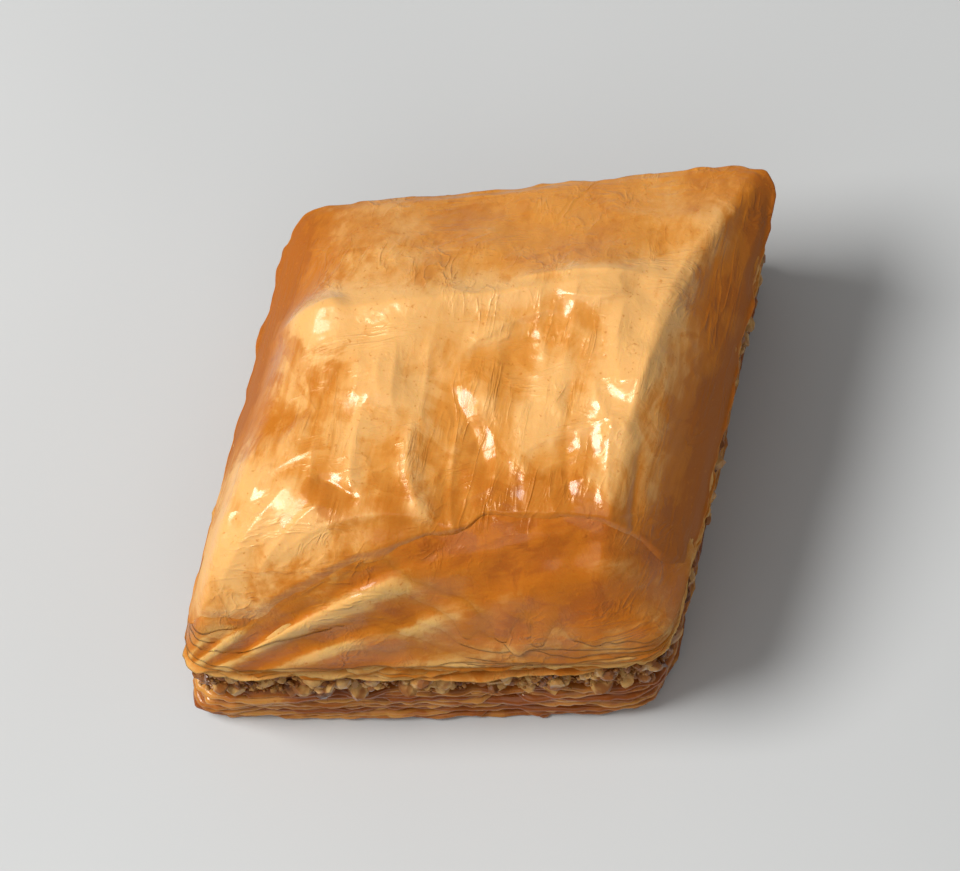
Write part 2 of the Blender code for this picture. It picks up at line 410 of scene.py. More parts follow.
def new_group(name, inputs, outputs):
    """An empty shader node group with named number or colour sockets."""
    group = bpy.data.node_groups.new(name, "ShaderNodeTree")
    kinds = {"number": "NodeSocketFloat", "colour": "NodeSocketColor", "place": "NodeSocketVector"}
    for label, kind, value in inputs:
        socket = group.interface.new_socket(label, in_out="INPUT", socket_type=kinds[kind])
        socket.default_value = value
    for label, kind in outputs:
        group.interface.new_socket(label, in_out="OUTPUT", socket_type=kinds[kind])
    return group, group.nodes.new("NodeGroupInput"), group.nodes.new("NodeGroupOutput")


def add_node(tree, kind, settings=None, **values):
    """A node with its settings and unlinked input values."""
    node = tree.nodes.new(kind)
    for key, value in (settings or {}).items():
        setattr(node, key, value)
    for key, value in values.items():
        node.inputs[key.replace("_", " ")].default_value = value
    return node


def add_noise(tree, place, scale, detail=3.0, roughness=0.5, distortion=0.0):
    """Noise read at a place; scale is in bumps a metre."""
    node = add_node(tree, "ShaderNodeTexNoise", Scale=scale, Detail=detail, Roughness=roughness)
    node.inputs["Distortion"].default_value = distortion
    tree.links.new(place, node.inputs["Vector"])
    return node.outputs["Fac"]


def spread(tree, value, low, high, bottom=0.0, top=1.0):
    """A number's stretch from low to high, eased to run from bottom to top."""
    node = add_node(tree, "ShaderNodeMapRange", {"interpolation_type": "SMOOTHSTEP"})
    for key, number in (("From Min", low), ("From Max", high), ("To Min", bottom), ("To Max", top)):
        node.inputs[key].default_value = number
    tree.links.new(value, node.inputs["Value"])
    return node.outputs["Result"]


def combine(tree, first, second, operation="MULTIPLY", clamp=True):
    """Two numbers, either of them a socket or a constant, put together and kept from 0 to 1."""
    node = add_node(tree, "ShaderNodeMath", {"operation": operation, "use_clamp": clamp})
    for index, value in enumerate((first, second)):
        if isinstance(value, (int, float)):
            node.inputs[index].default_value = value
        else:
            tree.links.new(value, node.inputs[index])
    return node.outputs[0]


def blend_colours(tree, share, first, second):
    """Mix of two colours, each a socket or a constant, by a share that is a socket."""
    node = tree.nodes.new("ShaderNodeMix")
    node.data_type = "RGBA"
    tree.links.new(share, node.inputs["Factor"])
    for socket, value in ((node.inputs[6], first), (node.inputs[7], second)):
        if isinstance(value, tuple):
            socket.default_value = (*value, 1.0)
        else:
            tree.links.new(value, socket)
    return node.outputs[2]


# %% [markdown]
# Baked dough shows two things at once: how toasted the leaf is, and whether it lies wet on
# the leaf below, which makes it orange and clear, or stands off it with air beneath, which
# makes it pale straw. A shared group mixes these into blotches and streaks. Other groups
# give the syrup's gloss and the fine skin of the dough.

# %% Shared effects
LEAF_SHADES = ("Straw", "Golden", "Orange", "Amber")


def drawn_out(tree, place, turn, stretch):
    """Places turned back about Z and squeezed along their new X.

    A noise read there is drawn out along the turn, which is an angle or a socket."""
    node = add_node(tree, "ShaderNodeMapping", {"vector_type": "TEXTURE"}, Scale=(stretch, 1, 1))
    tree.links.new(place, node.inputs["Vector"])
    if isinstance(turn, float):
        node.inputs["Rotation"].default_value = (0, 0, turn)
    else:
        tree.links.new(turn, node.inputs["Rotation"])
    return node.outputs["Vector"]


def creases(tree, value, sharpness):
    """Crest lines where a noise crosses 0.5: 1 minus five times its distance from it, to a power."""
    off = combine(tree, value, 0.5, "SUBTRACT", clamp=False)
    distance = combine(tree, off, 0.0, "ABSOLUTE")
    crest = combine(tree, 1.0, combine(tree, distance, 5.0), "SUBTRACT")
    return combine(tree, crest, sharpness, "POWER")


def leaf_colour_group():
    """Toasted dough: straw, golden, orange and amber, mixed by how puffed and how toasted it is.

    Blotches with a fairly clear border show where the leaf lies wet on the leaf below. The
    puffed and toasted values carry the dough's own tone and also some painted light and shade."""
    inputs = [("Place", "place", (0, 0, 0)), ("Grain", "place", (0, 0, 0))]
    inputs += [("Puffed", "number", 0.5), ("Toasted", "number", 0.3)]
    inputs += [(shade, "colour", (0, 0, 0, 1)) for shade in LEAF_SHADES]
    group, given, result = new_group("leaf colour", inputs, (("Colour", "colour"), ("Wet", "number")))
    place, grain = given.outputs["Place"], given.outputs["Grain"]
    straw, golden, orange, amber = (given.outputs[shade] for shade in LEAF_SHADES)
    blotch = spread(group, add_noise(group, place, 190, 3, 0.45, 0.4), 0.30, 0.70, -0.16, 0.16)
    streak = add_noise(group, drawn_out(group, place, grain, 6.0), 1300, 4, 0.6, 0.3)
    streak = spread(group, streak, 0.3, 0.7, -0.09, 0.09)
    stir = combine(group, blotch, streak, "ADD", clamp=False)
    wet = spread(group, add_noise(group, place, 230, 4, 0.55, 1.0), 0.48, 0.59)
    stir = combine(group, stir, combine(group, wet, 0.17), "SUBTRACT", clamp=False)
    puffed = combine(group, given.outputs["Puffed"], stir, "ADD")
    toasted = combine(group, given.outputs["Toasted"], stir, "SUBTRACT")
    base = blend_colours(group, spread(group, puffed, 0.30, 0.95), golden, straw)
    warm = blend_colours(group, spread(group, toasted, 0.15, 0.75), base, orange)
    deep = blend_colours(group, spread(group, toasted, 0.70, 1.30), warm, amber)
    freckle = spread(group, add_noise(group, place, 2300, 2, 0.5), 0.64, 0.74, 0.0, 0.55)
    dotted = blend_colours(group, freckle, deep, orange)
    group.links.new(dotted, result.inputs["Colour"])
    group.links.new(wet, result.inputs["Wet"])
    return group


def syrup_group():
    """Syrup over the dough: wet blotches and thick pools are smooth, thin places a little dull."""
    inputs = [("Place", "place", (0, 0, 0)), ("Wet", "number", 0.5)]
    inputs += [("Smooth", "number", 0.1), ("Dull", "number", 0.4), ("Least", "number", 0.35)]
    group, given, result = new_group("syrup", inputs, (("Roughness", "number"), ("Coat", "number")))
    smooth, dull, least = (given.outputs[name] for name in ("Smooth", "Dull", "Least"))
    pools = spread(group, add_noise(group, given.outputs["Place"], 260, 3, 0.5, 0.4), 0.38, 0.62)
    pools = combine(group, pools, combine(group, given.outputs["Wet"], 0.4), "ADD")
    smoothed = combine(group, pools, combine(group, dull, smooth, "SUBTRACT"))
    group.links.new(combine(group, dull, smoothed, "SUBTRACT"), result.inputs["Roughness"])
    pooled = combine(group, combine(group, 1.0, least, "SUBTRACT"), pools)
    group.links.new(combine(group, pooled, least, "ADD"), result.inputs["Coat"])
    return group


def dough_skin_group():
    """Heights for a bump: creases drawn out two ways, soft crinkles, and pin-prick blisters."""
    inputs = [("Place", "place", (0, 0, 0))]
    inputs += [(height, "number", 1.0) for height in ("Crease", "Crinkle", "Blister")]
    group, given, result = new_group("dough skin", inputs, (("Height", "number"),))
    place = given.outputs["Place"]
    along = creases(group, add_noise(group, drawn_out(group, place, 1.35, 4.5), 620, 3, 0.5, 0.6), 2.5)
    across = creases(group, add_noise(group, drawn_out(group, place, 0.15, 3.5), 520, 3, 0.5, 0.6), 2.5)
    which = spread(group, add_noise(group, place, 160, 2), 0.40, 0.54)
    other = combine(group, 1.0, which, "SUBTRACT")
    folds = combine(group, combine(group, along, which), combine(group, across, other), "ADD")
    strewn = spread(group, add_noise(group, place, 120, 3, 0.5, 0.8), 0.38, 0.64, 0.12, 1.0)
    folds = combine(group, folds, strewn)
    crinkle = add_noise(group, place, 900, 5, 0.6, 1.0)
    cells = add_node(group, "ShaderNodeTexVoronoi", Scale=1500.0)
    group.links.new(place, cells.inputs["Vector"])
    blister = spread(group, cells.outputs["Distance"], 0.10, 0.35, 1.0, 0.0)
    where = spread(group, add_noise(group, place, 300, 2), 0.55, 0.72)
    total = combine(group, folds, given.outputs["Crease"])
    for height, amount in ((crinkle, "Crinkle"), (combine(group, blister, where), "Blister")):
        height = combine(group, height, given.outputs[amount])
        total = combine(group, total, height, "ADD", clamp=False)
    group.links.new(total, result.inputs["Height"])
    return group


LEAF_COLOUR = leaf_colour_group()
SYRUP = syrup_group()
DOUGH_SKIN = dough_skin_group()
print("shared effects:", [group.name for group in bpy.data.node_groups])

# %% [markdown]
# Each finish is one Principled shader. The light goes a little way into wet dough and
# comes out warmer, so all the leaves have some subsurface light, and a clear coat stands
# for the syrup. The bump works on the dough under the coat, so the syrup's own highlight
# stays calm while the dough's is broken up. Three kinds of leaf share one recipe with other
# values: the glazed top, the toasted leaves of the upper stack and the soaked ones below.

# %% Leaf finishes
STRAW = (0.83, 0.450, 0.150)
GOLDEN = (0.70, 0.282, 0.046)
ORANGE = (0.54, 0.170, 0.014)
AMBER = (0.30, 0.065, 0.007)
SYRUP_COAT = {"Coat Roughness": 0.14, "Coat IOR": 1.45}


def group_node(tree, group, place, **values):
    """A shared effect placed in a material, read at a place, with its own values."""
    node = tree.nodes.new("ShaderNodeGroup")
    node.node_tree = group
    tree.links.new(place, node.inputs["Place"])
    for key, value in values.items():
        node.inputs[key].default_value = value
    return node


def read_mark(tree, name):
    """A number stored on the points of the piece."""
    return add_node(tree, "ShaderNodeAttribute", {"attribute_name": name}).outputs["Fac"]


def new_material(name):
    """A material's node tree, its Principled shader and the object's own coordinates."""
    material = bpy.data.materials.new(name)
    material.use_nodes = True
    tree = material.node_tree
    shader = tree.nodes["Principled BSDF"]
    place = tree.nodes.new("ShaderNodeTexCoord").outputs["Object"]
    return material, tree, shader, place


def set_inputs(shader, values):
    """Constant values on the shader's own sockets."""
    for socket, value in values.items():
        shader.inputs[socket].default_value = value


def light_inside(weight, radius, scale):
    """Socket values for light that goes into a body and comes out nearby."""
    return {"Subsurface Weight": weight, "Subsurface Radius": radius, "Subsurface Scale": scale}


def add_bump(tree, height, shader, strength, distance):
    """A bump from a height socket to the shader's normal."""
    relief = add_node(tree, "ShaderNodeBump", Strength=strength, Distance=distance)
    tree.links.new(height, relief.inputs["Height"])
    tree.links.new(relief.outputs["Normal"], shader.inputs["Normal"])


def leaf_material(name, colours, grain, gloss, coat, skin_heights, bump, glow, ior):
    """Baked leaf: mixed colours by its marks, syrup gloss, dough skin, and light inside.

    Grain is the angle of the streaks, gloss the roughness of wet and of thin syrup, coat
    the least and the full weight of the syrup, and skin_heights go to crease, crinkle and
    blister. A dry place is at least 0.6 rough and has no coat."""
    material, tree, shader, place = new_material(name)
    colour = group_node(tree, LEAF_COLOUR, place)
    for socket, value in zip(LEAF_SHADES, colours):
        colour.inputs[socket].default_value = (*value, 1.0)
    colour.inputs["Grain"].default_value = (0, 0, grain)
    # The puffed and toasted marks hold the dough's tone and also some painted light and shade.
    tree.links.new(read_mark(tree, "puffed"), colour.inputs["Puffed"])
    tree.links.new(read_mark(tree, "toasted"), colour.inputs["Toasted"])
    tree.links.new(colour.outputs["Colour"], shader.inputs["Base Color"])
    syrup = group_node(tree, SYRUP, place, Smooth=gloss[0], Dull=gloss[1], Least=coat[0])
    tree.links.new(colour.outputs["Wet"], syrup.inputs["Wet"])
    dry = read_mark(tree, "dry")
    dull = combine(tree, syrup.outputs["Roughness"], combine(tree, dry, 0.6), "MAXIMUM")
    tree.links.new(dull, shader.inputs["Roughness"])
    coated = spread(tree, dry, -0.5, 1.0, coat[1], 0.0)
    tree.links.new(combine(tree, syrup.outputs["Coat"], coated), shader.inputs["Coat Weight"])
    crease, crinkle, blister = skin_heights
    skin = group_node(tree, DOUGH_SKIN, place, Crease=crease, Crinkle=crinkle, Blister=blister)
    add_bump(tree, skin.outputs["Height"], shader, 1.0, bump)
    set_inputs(shader, SYRUP_COAT)
    set_inputs(shader, {"IOR": ior, "Specular Tint": (1.0, 0.80, 0.52, 1.0)})
    set_inputs(shader, light_inside(glow, (1.0, 0.42, 0.12), 0.7 * MM))
    return material


top_finish = leaf_material(
    "glazed top leaf", (STRAW, GOLDEN, ORANGE, AMBER), grain=1.35, gloss=(0.16, 0.38),
    coat=(0.35, 0.95), skin_heights=(0.7, 0.42, 0.25), bump=0.12 * MM, glow=0.18, ior=1.38)
toasted_colours = ((0.79, 0.42, 0.130), (0.64, 0.240, 0.032), (0.52, 0.150, 0.010), AMBER)
edge_finish = leaf_material(
    "toasted leaf edges", toasted_colours, grain=0.30, gloss=(0.18, 0.46),
    coat=(0.20, 1.0), skin_heights=(0.8, 0.6, 0.25), bump=0.12 * MM, glow=0.18, ior=1.28)
soaked_colours = ((0.60, 0.27, 0.06), (0.45, 0.155, 0.026), (0.30, 0.075, 0.010), (0.15, 0.032, 0.005))
wet_finish = leaf_material(
    "soaked leaf edges", soaked_colours, grain=0.05, gloss=(0.12, 0.30),
    coat=(0.30, 1.0), skin_heights=(0.3, 0.6, 0.25), bump=0.05 * MM, glow=0.22, ior=1.30)
print("leaf finishes:", top_finish.name, edge_finish.name, wet_finish.name, sep=", ")

# %% [markdown]
# The top leaf doesn't reach the front cut. It ends in a ragged line where it curls over,
# and the next leaves step out one after another down to the cut, like shingles on the left
# and close together on the right. Each leaf has its own front edge: the top leaf's line,
# moved part of the way to the cut. To make a sheet end there, v is squeezed towards the
# back by a linear map. Soft strands fan out over the slope from its left corner.

# %% Front edges of the leaves
FRONT_LINE_U = np.array([-1.00, -0.65, -0.37, -0.05, 0.15, 0.50, 0.78, 1.00])
FRONT_LINE_V = np.array([-0.90, -0.84, -0.72, -0.63, -0.56, -0.57, -0.63, -0.76])
STEPPED_LEAVES = 6


def front_line(u):
    """v of the top leaf's front edge: straight stretches between the points above."""
    return np.interp(u, FRONT_LINE_U, FRONT_LINE_V)


def front_edge(u, leaf, seed):
    """v where a leaf ends at the front: the top leaf's line, and closer to the cut leaf by leaf.

    The share of the way to the cut is the leaf's number over all, to a power that falls
    towards the right, where the second leaf already runs nearly down to the cut. A slow
    noise lets the edge drift, and a fine one tears it where a third says so."""
    power = 0.85 - 0.77 * smooth_step(-0.45, 0.35, u)
    share = np.clip(leaf / STEPPED_LEAVES, 0, 1) ** power
    x = u * WIDTH / 2
    drift = 0.03 * uneven(x, 0.0, leaf * 2 * MM, 12 * MM, seed) * np.sin(math.pi * share) ** 0.5
    where = smooth_step(0.1, 0.5, uneven(x, 0.0, 0.0, 6 * MM, seed + 1))
    torn = 0.022 * where * uneven(x, 0.0, 0.0, 1.6 * MM, seed + 2)
    return front_line(u) * (1 - share) - share + (drift + torn) * (leaf < STEPPED_LEAVES)


def from_left_corner(u, v):
    """Distance and angle of the places u, v from a point beyond the front left corner."""
    x, y = lozenge(u, v)
    x0, y0 = lozenge(-1.25, -1.15)
    return np.hypot(x - x0, y - y0), np.arctan2(y - y0, x - x0)


def strands(u, v):
    """Long soft ridges on the front slope, from about -0.4 to 0.6, fanning out from its left corner.

    A sine of the angle, its phase stirred by a noise, raised to a power that narrows the
    ridges. They fade out near the corner, near the top leaf and towards the right."""
    radius, angle = from_left_corner(u, v)
    stir = 1.7 * uneven(radius / 5, angle * 12 * MM, 0.0, 3.0 * MM, 51)
    ridges = (0.5 + 0.5 * np.sin(angle * 62 + stir)) ** 1.3
    strength = 0.75 + 0.45 * uneven(radius / 2.5, angle * 30 * MM, 0.0, 1.6 * MM, 52)
    fade = smooth_step(0.0, 0.05, front_line(u) - v) * smooth_step(3 * MM, 8 * MM, radius)
    return (ridges - 0.4) * strength * fade * (1 - 0.75 * smooth_step(18 * MM, 36 * MM, radius))


def strand_relief(u, v):
    """Height of the ridges, growing with the distance from the corner as they spread."""
    radius, _ = from_left_corner(u, v)
    return 1.5 * MM * strands(u, v) * smooth_step(0.0, 16 * MM, radius)


def squeeze(u, v, leaf, seed):
    """v moved so that -1 lands on the leaf's front edge and 1 stays at the back."""
    return 1 - (1 - v) * (1 - front_edge(u, leaf, seed)) / 2


# %% [markdown]
# The top leaf is one closed lid: a fine grid over the whole pillow, a rounded lip round its
# edge, and a plain underside that dives into the core where nobody sees it. The grid is a
# square whose corners are rounded off by the same rule as the rim, so that it needs no
# pole in the middle.

# %% Top leaf
TOP_GRID = 286
LEAF = 0.20 * MM
# out from the rim and down, in mm: round the lip, then in along the underside
LIP = ((0.10, 0.10), (0.08, 0.24), (-0.10, 0.32), (-3.0, 0.0))


def rounded_grid(count):
    """u and v of a square grid whose outer squares turn into the rounded rim.

    A point at a share m of the way out is multiplied by the rim's corner pull, mixed in by m^4."""
    line = np.linspace(-1, 1, count)
    p, q = np.meshgrid(line, line, indexing="ij")
    m = np.maximum(np.abs(p), np.abs(q))
    w = np.minimum(np.abs(p), np.abs(q)) / np.maximum(m, 1e-9)
    factor = 1 + (corner_pull(w) - 1) * m ** 4
    return p * factor, q * factor, m


def rim_loop(count):
    """Numbers of a square grid's outer points, in order round the grid."""
    ids = np.arange(count * count).reshape(count, count)
    return np.concatenate([ids[:-1, 0], ids[-1, :-1], ids[:0:-1, -1], ids[0, :0:-1]])


def top_marks(u, v, relief):
    """How puffed, how toasted and how dry the top is at u, v.

    Raised folds are puffed, and the part behind the crossing fold is calmer and a little
    more golden. The top grows paler towards the left, a painted highlight where the light
    falls. The front is toasted, the right side is toasted and carries painted shade, and the
    steep left side carries painted shade except near the front. Soft patches of both lie
    over everything, and syrup bleeds back from the front line in a ragged border. In the
    back left corner a bell in u and v makes the top wet, and paler there as a painted glint.
    The steep walls are dry."""
    x, y = lozenge(u, v)
    left, right, front, back = four_shoulders(u, v)
    patch = rough(x, y, 0.0, 9 * MM, 31, 2)
    behind = smooth_step(0.38, 0.54, v)
    calm = 1 - 0.5 * behind
    puffed = 0.41 + (1.0 * relief / MM + 0.24 * patch) * calm - 0.14 * behind
    # Paler towards the left: a painted highlight where the light falls.
    puffed = puffed + 0.22 * smooth_step(0.3, -0.8, u) * front
    toasted = 0.12 - (0.35 * relief / MM + 0.18 * patch) * calm + 0.04 * behind
    # Painted shade on the steep left side, and on the right side over its toasting.
    painted_wall_shade = 1.4 * (1 - left) * smooth_step(-0.5, 0.15, v)
    toasted = toasted + 1.15 * (1 - right) ** 0.6 + 0.55 * (1 - front) + painted_wall_shade
    ragged = v - front_line(u) + 0.16 * rough(x, y, 0.0, 5.0 * MM, 32, 3)
    bleeding = smooth_step(0.30, 0.0, ragged) * smooth_step(-0.75, -0.3, u)
    # A wet spot in the back left corner; its paler colour is a painted glint.
    wet_spot_and_painted_glint = np.exp(-(((u + 0.73) / 0.13) ** 2) - ((v - 0.29) / 0.15) ** 2)
    puffed = puffed - 0.35 * bleeding + 0.4 * wet_spot_and_painted_glint
    toasted = toasted + 0.55 * bleeding
    dry = (1.6 * (1 - right) + 2.0 * (1 - left) ** 1.3 + 0.5 * (1 - back)) * (1 - wet_spot_and_painted_glint) - 0.5 * wet_spot_and_painted_glint
    return puffed, toasted, np.clip(dry, -0.5, 1)


def top_leaf_body():
    """The lid: pillow plus relief on the grid, then lip, underside and closing fan.

    Its outline wobbles a little in and out. In the outermost twentieth the lid waves up
    and down and droops, by 0.35 mm at the sides and by up to 1 mm at the front, where a
    noise leaves some of it loose."""
    u, v, m = rounded_grid(TOP_GRID)
    x, y = lozenge(u, v)
    wobble = 1 + (0.016 * rough(x, y, 0.0, 3.4 * MM, 41) - 0.004) * m ** 12
    u, v = u * wobble, v * wobble
    v = squeeze(u, v, 0, 43)
    x, y = lozenge(u, v)
    relief = top_relief(u, v)
    near_edge = smooth_step(0.955, 1.0, m)
    lift = 0.35 * MM * uneven(x, y, 0.0, 5.0 * MM, 44) * near_edge * smooth_step(-0.85, -0.5, v)
    loose = smooth_step(0.0, 0.5, uneven(x, y, 0.0, 4.5 * MM, 45))
    droop = 0.35 + 0.65 * smooth_step(-0.5, -0.56, v) * (1 - 0.5 * loose)
    z = pillow(u, v) + relief + lift - droop * MM * near_edge
    puffed, toasted, dry = top_marks(u, v, relief)
    points = np.stack([x, y, z], -1).reshape(-1, 3)
    loop = rim_loop(TOP_GRID)
    rim = points[loop]
    outward = rim[:, :2] - rim[:, :2].mean(0)
    outward = outward / np.linalg.norm(outward, axis=1, keepdims=True)
    rings = []
    for out, down in LIP:
        ring = rim.copy()
        ring[:, :2] += out * MM * outward
        ring[:, 2] -= down * MM
        rings.append(ring)
    tip = np.array([[0.0, 0.0, FILLING_TOP + 2 * MM]])
    count = len(loop)
    start = len(points)
    every = np.concatenate([points] + rings + [tip])
    ring_ids = [loop] + [start + n * count + np.arange(count) for n in range(len(rings))]
    faces = [grid_faces(TOP_GRID, TOP_GRID)]
    for upper, lower in zip(ring_ids, ring_ids[1:]):
        faces.append(np.stack([upper, lower, np.roll(lower, -1), np.roll(upper, -1)], -1))
    faces.append(fan_faces(ring_ids[-1], len(every) - 1))
    faces = np.concatenate(faces)
    extra = len(every) - start
    marks = {
        "puffed": np.concatenate([puffed.ravel(), np.full(extra, 0.4)]),
        "toasted": np.concatenate([toasted.ravel(), np.full(extra, 0.5)]),
        "dry": np.concatenate([dry.ravel(), np.ones(extra)]),
    }
    return every, facing_out(every, faces), marks


make_piece("glazed_top_leaf", top_leaf_body(), "upper_leaves", top_finish)

# %% [markdown]
# Below the top leaf lie many more, and the cuts show their edges. Only the outer strip of
# each one can be seen, so a leaf is a closed band: a thin tongue-shaped section carried
# round the whole rim. Leaves wander in and out, curl up or down at their tips and lose
# chips where they broke, which is what makes baklava look flaky.

# %% Leaf bands
ROUND = 380


def tongue(reach, thickness, steps):
    """Section of a leaf as distances in from its tip and heights: out along the top, back below.

    Half the thickness follows a quarter circle near the tip and is even further in."""
    rounded = 0.3 * MM
    top = np.concatenate([np.linspace(reach, rounded, steps), [0.08 * MM]])
    below = np.array([0.08 * MM, rounded, reach])
    inward = np.concatenate([top, [0.0], below])
    side = np.concatenate([np.ones(len(top)), [0.0], -np.ones(len(below))])
    half = thickness / 2 * np.sqrt(1 - (1 - np.clip(inward / rounded, 0, 1)) ** 2)
    return inward, side * half


def chips(along, count, rng):
    """Depth of the chips broken out of a leaf's edge: a few sharp notches at random places."""
    places, widths = rng.uniform(0, 4, (count, 1)), rng.uniform(0.02, 0.11, (count, 1))
    depths = rng.uniform(0.2, 1.3, (count, 1)) * MM
    away = np.abs((along - places + 2) % 4 - 2) / widths
    return (depths * np.clip(1 - away ** 1.5, 0, 1) ** 0.7).max(axis=0)


def band_marks(leaf, u, v, inward, free, tone, seed, dryness):
    """How puffed, how toasted and how dry a leaf band is, given the leaf's own tone.

    Free is 1 where the leaf's edge stands free, and 0.25 where it lies on the front slope.
    A free edge is paler at its tip, a painted rim highlight, and darker further in, painted
    shade between the leaves, and takes the tone. On the slope the strands are pale and the
    ground between them darker, partly their own tone and partly painted light on the crests
    and painted shade in the hollows, and only the tip is dry."""
    x, y = lozenge(u, v)
    held = 1 - free
    tone = tone + 0.28 * rough(x, y, leaf * 4 * MM, 7 * MM, seed + 13, 3)
    depth = np.clip(inward / (2.0 * MM), 0, 1)
    # Paler at the tip as a painted rim highlight, darker further in as painted shade between the
    # leaves.
    painted_rim_light_and_gap_shade = 0.25 * np.exp(-inward / (0.25 * MM)) - 0.3 * depth
    # The strands: partly their own tone, partly painted light on the crests and painted shade between
    # them.
    strand_tone_and_painted_light = 1.5 * strands(u, v) * held
    shade = held * 0.12 * rough(x, y, leaf * MM, 4.5 * MM, 53, 3)
    puffed = 0.45 + tone * free + painted_rim_light_and_gap_shade * free + strand_tone_and_painted_light + shade
    # Further in the leaf is darkened with painted shade between the leaves.
    toasted = 0.30 - tone * free + 0.45 * depth * free - strand_tone_and_painted_light - shade
    toasted = toasted + (0.22 + 0.22 * smooth_step(-0.4, 0.2, u)) * held
    tip = np.exp(-inward / (0.15 * MM)) * held
    dry = np.clip(dryness * np.clip((free - 0.25) / 0.5, 0, 1) + 1.4 * tip, 0, 1)
    return {"puffed": puffed.ravel(), "toasted": toasted.ravel(), "dry": dry.ravel()}


def leaf_band(leaf, height_of, section, wander, curl, chip_count, seed, stepped, dryness):
    """One leaf's closed band.

    Round the rim, the tip stands at the rim less the wandering and the chips. Going in
    along the section, the height follows the leaf's own surface, plus the curl, which
    fades over a millimetre, plus the section's half thickness. Where the leaf lies on the
    front slope, it wanders and curls less, and its tip droops onto the next leaf."""
    rng = np.random.default_rng(seed)
    inward, half = (values[None, :] for values in section)
    along = np.arange(ROUND) * 4.0 / ROUND
    u0, v0 = rim_point(along)
    x0, y0 = lozenge(u0, v0)
    on_slope = stepped * smooth_step(STEPPED_LEAVES + 4, STEPPED_LEAVES, leaf)
    free = 1 - 0.75 * on_slope * smooth_step(-0.5, -0.9, v0)
    edge = wander * rough(x0, y0, leaf * 3 * MM, 6.5 * MM, seed, 4) - 0.35 * MM
    edge = edge + 0.12 * MM * uneven(x0, y0, leaf * MM, 0.7 * MM, seed + 7)
    edge = (edge - chips(along, chip_count, rng)) * (1.4 * free - 0.4 + 0.35 * (1 - free))
    turn_up = curl * free * rough(x0, y0, leaf * 2 * MM, 4.5 * MM, seed + 11, 3)
    edge, free, turn_up = (values[:, None] for values in (edge, free, turn_up))
    scale = 1 + (edge - inward) / (DEPTH / 2)
    u, v = u0[:, None] * scale, v0[:, None] * scale
    if stepped:
        v = squeeze(u, v, leaf, seed)
    x, y = lozenge(u, v)
    near_tip = np.exp(-inward / (1.1 * MM))
    stuck = (1 - free) * near_tip
    droop = (1.2 if leaf < STEPPED_LEAVES else 0.15) * MM * stuck
    z = height_of(u, v) + turn_up * near_tip + half * (1 - 0.6 * stuck) - droop
    points = np.stack([x, y, z], -1).reshape(-1, 3)
    faces = facing_out(points, grid_faces(ROUND, inward.size, True, True))
    tone = rng.uniform(-0.22, 0.22)
    return points, faces, band_marks(leaf, u, v, inward, free, tone, seed, dryness)


print("points in one leaf's section:", len(tongue(6.0 * MM, LEAF, 9)[0]), "carried to", ROUND, "places")

# %% [markdown]
# The upper leaves share the height between the walnut and the rim. The first seven reach
# far in, because their steps lie open on the front slope. Of the others only the edges
# can be seen, so their sections are short and have few points.

# %% Upper leaves
UPPER_LEAVES = 17
SLOPE_LEAVES = STEPPED_LEAVES + 1


def upper_leaf_height(leaf):
    """Surface of a leaf in the upper stack.

    At the rim the leaves share out the space between walnut and rim evenly. Inwards they
    rise with the pillow, the lowest ones less."""
    share = leaf / (UPPER_LEAVES + 0.6)

    def height(u, v):
        x, y = lozenge(u, v)
        rim = rim_height(u, v)
        rise = pillow(u, v) - rim
        own = 0.13 * MM * rough(x, y, leaf * 5 * MM, 4.0 * MM, 60 + leaf, 3)
        own = own + strand_relief(u, v) * smooth_step(9, 3, leaf)
        return rim - (rim - FILLING_TOP) * share + rise * (1 - share ** 2.5) + own

    return height


def upper_bands(leaves, section):
    """The bands of some upper leaves, joined. The two nearest the top leaf curl less."""
    bands = []
    for leaf in leaves:
        curl = 0.15 * MM if leaf <= 2 else 0.55 * MM
        bands.append(leaf_band(
            leaf, upper_leaf_height(leaf), section, wander=0.55 * MM, curl=curl, chip_count=9,
            seed=100 + 20 * leaf, stepped=True, dryness=1.0))
    return join(bands)


slope_bands = upper_bands(range(1, SLOPE_LEAVES + 1), tongue(10.5 * MM, LEAF, 32))
make_piece("slope_leaves", slope_bands, "upper_leaves", edge_finish)
side_bands = upper_bands(range(SLOPE_LEAVES + 1, UPPER_LEAVES + 1), tongue(6.0 * MM, LEAF, 9))
make_piece("upper_leaf_edges", side_bands, "upper_leaves", edge_finish)

# %% [markdown]
# The lower leaves are pressed flat by the filling and soaked with syrup, which swells them.
# They are the same bands with thicker sections, less curl and a wet finish, and the lowest
# one lies quite flat, because the piece stands on it.

# %% Lower leaves
LOWER_LEAVES = 15
LOWER_LEAF = 0.57 * MM


def lower_leaf_height(leaf):
    """Surface of a leaf in the lower stack: nearly flat, waving more the higher it lies."""
    share = leaf / (LOWER_LEAVES - 1)
    at_rest = LOWER_LEAF / 2 + 0.03 * MM + (LOWER_TOP - LOWER_LEAF - 0.3 * MM) * share
    ripple = 0.22 * MM * (0.25 + 0.75 * share if leaf else 0.0)

    def height(u, v):
        x, y = lozenge(u, v)
        wave = 0.34 * MM * share * uneven(x, y, 0.0, 13 * MM, 71)
        return at_rest + wave + ripple * rough(x, y, leaf * 1.5 * MM, 5.0 * MM, 72, 3)

    return height


def lower_bands(section):
    """The bands of all the lower leaves, joined."""
    bands = []
    for leaf in range(LOWER_LEAVES):
        curl = 0.26 * MM if leaf else 0.0
        bands.append(leaf_band(
            leaf, lower_leaf_height(leaf), section, wander=0.50 * MM, curl=curl, chip_count=6,
            seed=600 + 20 * leaf, stepped=False, dryness=0.1))
    return join(bands)


